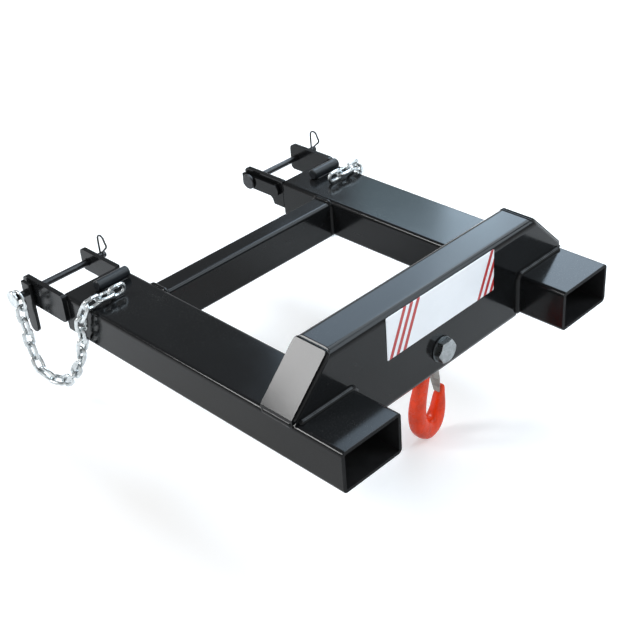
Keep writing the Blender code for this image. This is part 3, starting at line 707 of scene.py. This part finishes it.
class LIFTBEAM_OT_bolt(BeamOperator, bpy.types.Operator):
    """Model the hook bolt with chamfered head and nut, a rolled thread, washers and spacers"""

    bl_idname = "lift_beam.bolt"
    bl_label = "Hook bolt"

    # Radius of the bolt, with the pitch and depth of its thread
    shank = 0.5 * INCH
    pitch = 0.125 * INCH
    depth = 0.6 * pitch
    # Radii round a hexagon's corners and of its flat face, over the radius to its flats
    corners = 1.2
    face = 0.93
    chamfer = math.radians(30)
    # How far a cutting tool stands clear of the face it meets
    clear = 1e-5

    def execute(self, context):
        edges = context.scene.beam_edges
        low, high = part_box("hook_bolt")
        nut_low, nut_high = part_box("hook_nut")
        centre = Vector(((low.x + high.x) / 2, 0, (low.z + high.z) / 2))
        flats = (high.z - low.z) / 2
        corners, face = flats * self.corners, flats * self.face
        slope = (corners - face) * math.tan(self.chamfer)
        core = self.shank - self.depth

        bolt = traced("hook_bolt", "hook_bolt_finished")
        carve(bolt, turned("chamfer", "Y", centre, [
            (face, low.y - self.clear), (corners, low.y + slope), (corners, nut_high.y - 0.001),
            (core, nut_high.y - 0.0009), (core, high.y - self.pitch / 2),
            (core * 0.88, high.y + self.clear)]), "INTERSECT")
        soften(bolt, edges.small)
        ridge = self.thread(centre, core, nut_high.y, high.y - nut_high.y)
        fit(joined([bolt, ridge], "hook_bolt_finished"), "hook_bolt", finish="aged_zinc")

        nut = traced("hook_nut", "hook_nut_finished")
        carve(nut, turned("chamfer", "Y", centre, [
            (face, nut_low.y - self.clear), (corners, nut_low.y + slope),
            (corners, nut_high.y - slope), (face, nut_high.y + self.clear)]), "INTERSECT")
        soften(nut, edges.small)
        fit(nut, "hook_nut", finish="aged_zinc")
        for end in ("front", "rear"):
            for node, finish in ((end + "_washer", "washer_steel"), (end + "_spacer", None)):
                piece = traced(node, node + "_finished")
                soften(piece, edges.small)
                fit(piece, node, finish=finish)
        return {"FINISHED"}

    def thread(self, centre, core, start, length):
        """A sharp ridge wound round the bolt's end."""
        deselect()
        bpy.ops.mesh.primitive_circle_add(vertices=4, radius=self.pitch / 2, fill_type="NOTHING",
                                          rotation=(math.pi / 2, 0, 0))
        ridge = added("bolt_thread")
        pick(ridge, "VERT", lambda place: True)
        bpy.ops.transform.resize(value=(1.2, 1, 0.98))
        bpy.ops.transform.translate(value=(core, 0, 0))
        done()
        modify(ridge, "SCREW", axis="Z", angle=2 * math.pi, screw_offset=self.pitch,
               iterations=int(length / self.pitch), steps=40, render_steps=40,
               use_merge_vertices=True, merge_threshold=1e-6)
        pick(ridge, "VERT", lambda place: True)
        bpy.ops.mesh.fill_holes(sides=0)
        bpy.ops.mesh.normals_make_consistent(inside=False)
        done()
        place = Matrix.Translation(centre + Vector((0, start, 0)))
        ridge.matrix_world = place @ Matrix.Rotation(-math.pi / 2, 4, "X")
        activate(ridge)
        bpy.ops.object.transform_apply(location=True, rotation=True, scale=True)
        smooth(ridge, math.radians(30))
        return ridge


class LIFTBEAM_OT_chains(BeamOperator, bpy.types.Operator):
    """Hang the tether chains from links with butt welds, with their end rings and anchor links"""

    bl_idname = "lift_beam.chains"
    bl_label = "Tether chains"

    def execute(self, context):
        chain = context.scene.beam_chain
        crown = (chain.width + chain.wire) / 2
        link = self.loop("chain_link", crown, chain.wire / 2, 32)
        straight = (chain.pitch + chain.wire) / 2 - crown
        for way in (1, -1):
            pick(link, "VERT", lambda place: place.x * way > chain.wire * 0.4)
            bpy.ops.transform.translate(value=(straight * way, 0, 0))
            done()
        for side, sign in SIDES.items():
            self.hang(side, sign, chain, link)
            self.ring(side)
        bpy.data.objects.remove(link)
        return {"FINISHED"}

    def loop(self, name, radius, thickness, segments):
        """A round wire bent into a ring, with the collar of its butt weld on one side."""
        deselect()
        bpy.ops.mesh.primitive_torus_add(major_radius=radius, minor_radius=thickness,
                                         major_segments=segments, minor_segments=16)
        piece = added(name)
        pick(piece, "EDGE", lambda a, b: max(abs(a.x), abs(b.x)) < 1e-6 and a.y > 0)
        bpy.ops.mesh.bevel(offset=thickness * 0.5, segments=4)
        done()
        pick(piece, "VERT", lambda place: abs(place.x) < thickness * 0.1 and place.y > 0)
        bpy.ops.transform.resize(value=(1, 1.13, 1.13), center_override=(0, radius, 0))
        done()
        activate(piece)
        bpy.ops.object.shade_smooth()
        return piece

    def hang(self, side, sign, chain, link):
        joints = chain_joints(side, sign, chain)
        strides = [(after - before).normalized() for before, after in zip(joints, joints[1:])]
        turns = link_turns(strides)
        links = []
        for number, (along, across) in enumerate(zip(strides, turns)):
            centre = (joints[number] + joints[number + 1]) / 2
            # Links alternate the side that their weld is on
            across = across if number % 4 < 2 else -across
            links.append(copied(link, f"link_{number}", frame_of(centre, along, across)))
        run = joined(links, f"{side}_chain_links")
        fit(run, f"{side}_chain", ride=False)
        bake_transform(run)

        low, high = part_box(f"{side}_chain_anchor")
        along = (strides[-1] * Vector((1, 1, 0))).normalized()
        place = frame_of((low + high) / 2, along, Vector((0, 0, 1)))
        fit(copied(link, f"{side}_anchor_link", place), f"{side}_chain_anchor")

    def ring(self, side):
        node = f"{side}_chain_ring"
        low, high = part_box(node)
        thickness = (high.x - low.x) / 2
        radius = (high.z - low.z) / 2 - thickness
        ring = self.loop("end_ring", radius, thickness, 56)
        place = frame_of((low + high) / 2, Vector((0, 0, 1)), Vector((0, -1, 0)))
        fit(copied(ring, node + "_finished", place), node)
        bpy.data.objects.remove(ring)


def frame_of(centre, along, across):
    """The matrix that lays a piece's X along one direction and its Y along another."""
    turn = Matrix((along, across, along.cross(across))).transposed()
    return Matrix.Translation(centre) @ turn.to_4x4()


def smooth_path(points, steps):
    """A Catmull-Rom curve through points."""
    ends = [2 * points[0] - points[1], *points, 2 * points[-1] - points[-2]]
    path = []
    for before, start, stop, after in zip(ends, ends[1:], ends[2:], ends[3:]):
        for t in (step / steps for step in range(steps)):
            path.append(0.5 * (2 * start + (stop - before) * t
                               + (2 * before - 5 * start + 4 * stop - after) * t ** 2
                               + (3 * start - before - 3 * stop + after) * t ** 3))
    return [*path, points[-1]]


def chain_joints(side, sign, chain):
    """Points where a chain's links meet, from its ring down and round onto the pocket's top."""
    low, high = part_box(f"{side}_fork_pocket")
    centre, edge, top, heel = (low.x + high.x) / 2, (high.x - low.x) / 2, high.z, high.y
    low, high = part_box(f"{side}_chain_ring")
    ring = (low + high) / 2
    bore = (high.z - low.z) / 2 - (high.x - low.x)
    low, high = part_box(f"{side}_heel_pin")
    loop = (low.z + high.z) / 2 - chain.drop
    seat, bite = 0.0003, chain.stride - chain.pitch
    half_link = (chain.width + 2 * chain.wire) / 2
    hung = ring.z - bore + seat + bite / 2
    ring_out, wall_out = abs(ring.x - centre), edge + half_link + 0.07 * INCH
    lie = top + half_link + seat
    bend = math.hypot(POCKET_CORNER + half_link + 0.02 * INCH, chain.stride / 2)
    over = [(edge - POCKET_CORNER + bend * math.cos(math.radians(angle)),
             top - POCKET_CORNER + bend * math.sin(math.radians(angle))) for angle in (5, 45, 85)]
    # Distance out from the pocket's centre, distance behind the toe, height
    points = [(ring_out, ring.y, hung),
              (ring_out, ring.y, hung - chain.pitch),
              (ring_out, ring.y - 0.20 * INCH, loop + 2.5 * INCH),
              (ring_out, ring.y - 1.00 * INCH, loop + 0.7 * INCH),
              (wall_out + 0.2 * INCH, ring.y - 2.30 * INCH, loop),
              (wall_out + 0.1 * INCH, ring.y - 3.90 * INCH, loop + 1.2 * INCH),
              (wall_out, heel - 1.7 * INCH, loop + 3.2 * INCH),
              (wall_out, heel - 2.5 * INCH, loop + 5.3 * INCH),
              (over[0][0], heel - 3.0 * INCH, over[0][1]),
              (over[1][0], heel - 3.2 * INCH, over[1][1]),
              (over[2][0], heel - 3.3 * INCH, over[2][1]),
              (edge - 1.3 * chain.pitch, heel - 3.3 * INCH, lie),
              (-edge, heel - 3.3 * INCH, lie)]
    path = smooth_path([Vector((centre + sign * out, y, z)) for out, y, z in points], 60)
    on_top = {"left": chain.left_on_top, "right": chain.right_on_top}[side]
    joints = [path[0]]
    for point in path:
        if (point - joints[-1]).length >= chain.stride:
            joints.append(joints[-1] + (point - joints[-1]).normalized() * chain.stride)
        if len(joints) > 1 and abs(joints[-1].x - centre) < edge - on_top:
            break
    return joints


def link_turns(strides):
    """Each link's crosswise direction: a quarter turn from link to link, flat across the ring."""
    normals = [Vector((0, 1, 0))]
    for before, after in zip(strides[::-1], strides[-2::-1]):
        normals.append(before.rotation_difference(after) @ normals[-1])
    normals.reverse()
    count = len(strides)
    across_ring = Vector((1, 0, 0))
    reached = normals[0] if count % 2 else strides[0].cross(normals[0])
    twist = reached.angle(across_ring)
    if reached.cross(across_ring).dot(strides[0]) < 0:
        twist = -twist
    if abs(twist) > math.pi / 2:
        twist -= math.copysign(math.pi, twist)
    turns = []
    for index, (along, normal) in enumerate(zip(strides, normals)):
        turn = twist * (1 - index / (count - 1)) + math.pi / 2 * ((count - 1 - index) % 2)
        turns.append(Matrix.Rotation(turn, 3, along) @ normal)
    return turns


class LIFTBEAM_OT_welds(BeamOperator, bpy.types.Operator):
    """Lay weld beads where the plates and tubes meet"""

    bl_idname = "lift_beam.welds"
    bl_label = "Welds"

    def execute(self, context):
        edges = context.scene.beam_edges
        beads = []
        for side, sign in SIDES.items():
            runs = self.beam_runs(side, sign, edges) + self.heel_runs(side, sign, edges)
            beads += [bead(points, radius, edges.ripple) for points, radius in runs]
        welds = joined(beads, "frame_welds")
        activate(welds)
        bpy.ops.object.shade_smooth()
        welds.data.materials.clear()
        welds.data.materials.append(finishes()["black_paint"])
        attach(welds, "frame")
        return {"FINISHED"}

    def beam_runs(self, side, sign, edges):
        """Runs round the beam, its sloping end and the cross tube, as (points, radius)."""
        low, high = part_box(f"{side}_fork_pocket")
        top = high.z
        inner, outer = (low.x, high.x) if sign > 0 else (high.x, low.x)
        beam_low, beam_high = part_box("lifting_beam")
        corner = POCKET_CORNER
        runs = []
        for y in (beam_low.y, beam_high.y):
            over = [(outer - sign * 0.35 * INCH, y, top), (inner + sign * corner, y, top)]
            for angle in (22, 45, 68):
                turn = math.radians(angle)
                over.append((inner + sign * corner * (1 - math.sin(turn)), y,
                             top - corner * (1 - math.cos(turn))))
            over += [(inner, y, top - corner), (inner, y, 0.05 * INCH)]
            runs.append((over, edges.weld))
        # The bead at a cap's foot lies low, over the pocket's rounded edge
        foot, sunk = outer - sign * 0.13 * INCH, top - 0.0018
        runs.append(([(foot, beam_low.y + 0.2 * INCH, sunk),
                      (foot, beam_high.y - 0.2 * INCH, sunk)], edges.weld * 0.85))
        runs.append((self.cap_run(side, sign), edges.cap_weld))
        low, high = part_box("rear_cross_tube")
        bend = 0.3 * INCH
        up = [(inner, low.y, 0.1 * INCH), (inner, low.y, high.z - bend),
              (inner, low.y + bend * 0.3, high.z - bend * 0.3), (inner, low.y + bend, high.z)]
        down = [(x, low.y + high.y - y, z) for x, y, z in reversed(up)]
        runs.append((up + down, edges.weld * 0.7))
        return runs

    def cap_run(self, side, sign):
        """Points up one side of a sloping cap, over its head and down the other side."""
        low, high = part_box(f"{side}_beam_cap")
        foot_x = high.x if sign > 0 else low.x
        head = high.z - 0.177 * INCH - 0.0005
        bend = 0.1 * INCH
        # Height, and distance in from the cap's side
        rows = [(low.z + 0.2 * INCH, 0), (head - 2 * bend, 0), (head - 0.6 * bend, 0.3 * bend),
                (head, bend)]
        up = [(foot_x - sign * (z - low.z), low.y + inset, z) for z, inset in rows]
        return up + [(x, low.y + high.y - y, z) for x, y, z in reversed(up)]

    def heel_runs(self, side, sign, edges):
        """Runs at the ears, the short bar and the chain's anchor link."""
        low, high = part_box(f"{side}_fork_pocket")
        top, heel = high.z, high.y
        inner, outer = (low.x, high.x) if sign > 0 else (high.x, low.x)
        inner_ear, outer_ear = ("west", "east") if sign > 0 else ("east", "west")
        small = edges.small_weld
        low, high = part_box(f"{side}_heel_ear_{inner_ear}")
        face = inner + sign * (high.x - low.x)
        runs = [([(face, heel, low.z + 0.1 * INCH), (face, heel, high.z - 0.2 * INCH)], small)]
        low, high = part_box(f"{side}_heel_ear_{outer_ear}")
        bend = 0.25 * INCH
        runs.append(([(outer, heel - 0.05 * INCH, low.z), (outer, low.y + bend, low.z),
                      (outer, low.y, low.z + bend), (outer, low.y, top - bend)], small * 0.6))
        lap, sunk = outer - sign * 0.04 * INCH, top - 0.06 * INCH
        runs.append(([(lap, low.y + 0.1 * INCH, sunk), (lap, heel - 0.1 * INCH, sunk)],
                     small * 1.3))
        low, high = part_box(f"{side}_heel_bar")
        middle, radius = (low.y + high.y) / 2, (high.y - low.y) / 2
        for way in (1, -1):
            y, z = middle + way * radius * 0.72, top + 0.0006
            runs.append(([(low.x + 0.15 * INCH, y, z), (high.x - 0.15 * INCH, y, z)], small))
        low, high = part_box(f"{side}_chain_anchor")
        for y in (low.y, high.y):
            runs.append(([(low.x + 0.3 * INCH, y, top), (high.x - 0.3 * INCH, y, top)],
                         small * 0.7))
        return runs


def bead(points, radius, ripple):
    """A rippled weld along a row of points, with tapered ends."""
    points = [Vector(point) for point in points]
    spots = []
    for start, stop in zip(points, points[1:]):
        count = max(1, round((stop - start).length / ripple * 2))
        spots += [start.lerp(stop, step / count) for step in range(count)]
    spots.append(points[-1])
    curve = bpy.data.curves.new("bead", "CURVE")
    curve.dimensions = "3D"
    curve.bevel_depth = radius
    curve.bevel_resolution = 3
    curve.use_fill_caps = True
    line = curve.splines.new("POLY")
    line.points.add(len(spots) - 1)
    for number, (point, spot) in enumerate(zip(line.points, spots)):
        # Every other spot stands out as a ripple, over a slow and a quick unevenness
        uneven = 1 + 0.02 * math.sin(number * 1.9 + spot.y * 90) + 0.02 * math.sin(number * 0.31)
        taper = min(1.0, 0.55 + 0.15 * min(number, len(spots) - 1 - number))
        point.co = (*spot, 1.0)
        point.radius = uneven * taper * (1.015 if number % 2 else 0.985)
    piece = bpy.data.objects.new("bead", curve)
    bpy.context.scene.collection.objects.link(piece)
    activate(piece)
    bpy.ops.object.convert(target="MESH")
    return bpy.context.object


class LIFTBEAM_OT_sign(BeamOperator, bpy.types.Operator):
    """Fix a printed sign plate on the beam's front face"""

    bl_idname = "lift_beam.sign"
    bl_label = "Sign"

    def execute(self, context):
        sign = context.scene.beam_sign
        face_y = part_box("lifting_beam")[0].y
        low = Vector((sign.left, face_y - sign.proud, sign.bottom))
        high = Vector((sign.right, face_y + 0.0001, sign.top))
        deselect()
        bpy.ops.mesh.primitive_cube_add(size=1, location=(low + high) / 2, scale=high - low)
        piece = added("front_sign")
        pick(piece, "EDGE", lambda a, b: abs(a.x - b.x) < 1e-6 and abs(a.z - b.z) < 1e-6)
        bpy.ops.mesh.bevel(offset=sign.corner, segments=4)
        done()
        soften(piece, 0.0002)
        finish = printed_sign("finish_sign", low, high, sign, context.scene.beam_paint)
        piece.data.materials.append(finish)
        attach(piece, "frame")
        return {"FINISHED"}


class LIFTBEAM_OT_studio(BeamOperator, bpy.types.Operator):
    """Set up the floor, the lights and the camera"""

    bl_idname = "lift_beam.studio"
    bl_label = "Studio"

    # Side of the floor, and the distances from its middle between which it turns white
    floor_size = 40.0
    floor_fade = (1.2, 4.5)
    # Heights over the horizon, as the sine of an angle, between which the white ends
    horizon_fade = (0.34, 0.14)
    # Each lamp's name, place, what it faces, width and height, power and colour
    lamp_list = (
        ("sky_high", (2.0, 0.5, 3.0), (0.6, 0.3, 0), (1.9, 2.2), 72.0, (0.80, 0.91, 1.0)),
        ("sky_front", (2.0, -1.6, 2.3), (0, 0.2, 0), (1.9, 1.8), 59.0, (0.80, 0.91, 1.0)),
        ("front", (-1.2, -2.4, 1.9), (0, 0.2, 0), (1.6, 1.2), 16.0, (1.0, 0.98, 0.95)),
        ("sky_near", (3.75, 3.95, 3.9), (0, 0.3, 0), (1.1, 1.65), 26.5, (0.63, 0.81, 1.0)),
        ("sky_low", (4.3, 3.8, 2.94), (0.27, 0.4, 0.08), (1.0, 0.8), 4.6, (0.56, 0.85, 1.0)),
        ("sky_far", (4.45, 2.85, 3.5), (0, 0.3, 0), (1.6, 3.0), 107.0, (0.66, 0.83, 1.0)),
        ("cap_card", (-2.45, 2.47, 2.5), (-0.1, 0.13, 0.1), (1.1, 0.9), 85.0, (1.0, 1.0, 1.0)),
    )

    def execute(self, context):
        studio = context.scene.beam_studio
        floor_z = CAD_BOX[0].z - studio.floor_gap
        deselect()
        bpy.ops.mesh.primitive_plane_add(size=self.floor_size, location=(0, 0, floor_z))
        floor = added("floor")
        finish = Finish("finish_floor", Roughness=0.9, IOR=1.2)
        grain = finish.noise(3.0, 2.0)
        finish.feed("Base Color", finish.mix(grain, (0.80, 0.80, 0.80), (0.83, 0.83, 0.83)))
        finish.shader.inputs["Emission Strength"].default_value = 1.0
        # Far from the object, where the lamps don't reach, the floor is as white as the surround
        x, y, _ = finish.axes()
        far = (x * x + y * y).math("SQRT").ramp(*self.floor_fade)
        near = studio.floor_glow
        glow = finish.mix(far, (near, near, near), (1, 1, 1))
        finish.feed("Emission Color", finish.mix(seen(finish.tree), (0, 0, 0), glow))
        floor.data.materials.append(finish.material)
        self.lamps()
        self.world(context, studio)
        self.camera(context, studio)
        return {"FINISHED"}

    def lamps(self):
        for name, place, target, size, power, colour in self.lamp_list:
            lamp = bpy.data.lights.new(name, "AREA")
            lamp.shape = "RECTANGLE"
            lamp.size, lamp.size_y = size
            lamp.energy = power
            lamp.color = colour
            holder = bpy.data.objects.new(name, lamp)
            holder.location = place
            facing = Vector(target) - Vector(place)
            holder.rotation_euler = facing.to_track_quat("-Z", "Y").to_euler()
            bpy.context.scene.collection.objects.link(holder)

    def world(self, context, studio):
        world = bpy.data.worlds.new("studio")
        context.scene.world = world
        world.use_nodes = True
        tree = world.node_tree
        background = tree.nodes["Background"]
        background.inputs["Color"].default_value = (1, 1, 1, 1)
        # White near the horizon, as it is seen
        split = tree.nodes.new("ShaderNodeSeparateXYZ")
        tree.links.new(tree.nodes.new("ShaderNodeTexCoord").outputs["Generated"], split.inputs[0])
        low = Value(tree, split.outputs["Z"]).ramp(*self.horizon_fade)
        strength = low * seen(tree) * (1 - studio.surround) + studio.surround
        plug(tree, background.inputs["Strength"], strength)

    def camera(self, context, studio):
        a, e, r = studio.azimuth, studio.elevation, studio.roll
        back = Vector((math.sin(a) * math.cos(e), -math.cos(a) * math.cos(e), math.sin(e)))
        right = Vector((math.cos(a), math.sin(a), 0))
        up = back.cross(right)
        leaned_right = right * math.cos(r) + up * math.sin(r)
        leaned_up = up * math.cos(r) - right * math.sin(r)
        turn = Matrix((leaned_right, leaned_up, back)).transposed().to_4x4()
        data = bpy.data.cameras.new("photo_camera")
        data.lens = studio.lens
        data.sensor_width = 36.0
        camera = bpy.data.objects.new("photo_camera", data)
        camera.matrix_world = Matrix.Translation(studio.place) @ turn
        context.scene.collection.objects.link(camera)
        context.scene.camera = camera
        context.scene.view_settings.view_transform = "Standard"


OPERATORS = (LIFTBEAM_OT_studio, LIFTBEAM_OT_steelwork, LIFTBEAM_OT_welds,
             LIFTBEAM_OT_round_bars, LIFTBEAM_OT_clips, LIFTBEAM_OT_chains,
             LIFTBEAM_OT_hook, LIFTBEAM_OT_bolt, LIFTBEAM_OT_sign)


class LIFTBEAM_PT_panel(bpy.types.Panel):
    """Lists the steps in the order they are built"""

    bl_idname = "LIFTBEAM_PT_panel"
    bl_label = "Lifting beam"
    bl_space_type = "VIEW_3D"
    bl_region_type = "UI"
    bl_category = "Lifting beam"

    def draw(self, context):
        for operator in OPERATORS:
            self.layout.operator(operator.bl_idname)


GROUPS = {"beam_paint": PaintSettings, "beam_edges": EdgeSettings, "beam_chain": ChainSettings,
          "beam_sign": SignSettings, "beam_studio": StudioSettings}
CLASSES = (*GROUPS.values(), *OPERATORS, LIFTBEAM_PT_panel)


def register():
    for cls in CLASSES:
        bpy.utils.register_class(cls)
    for name, group in GROUPS.items():
        setattr(bpy.types.Scene, name, PointerProperty(type=group))


def unregister():
    for name in GROUPS:
        delattr(bpy.types.Scene, name)
    for cls in reversed(CLASSES):
        bpy.utils.unregister_class(cls)


def main():
    register()
    bpy.ops.lift_beam.studio()
    bpy.ops.lift_beam.steelwork()
    bpy.ops.lift_beam.welds()
    bpy.ops.lift_beam.round_bars()
    bpy.ops.lift_beam.clips()
    bpy.ops.lift_beam.chains()
    bpy.ops.lift_beam.hook()
    bpy.ops.lift_beam.bolt()
    bpy.ops.lift_beam.sign()
    for node, piece in frame["nodes"].items():
        piece.data.materials.clear()
        piece.data.materials.append(finishes()[slot_of(node)])


if __name__ == "__main__":
    main()
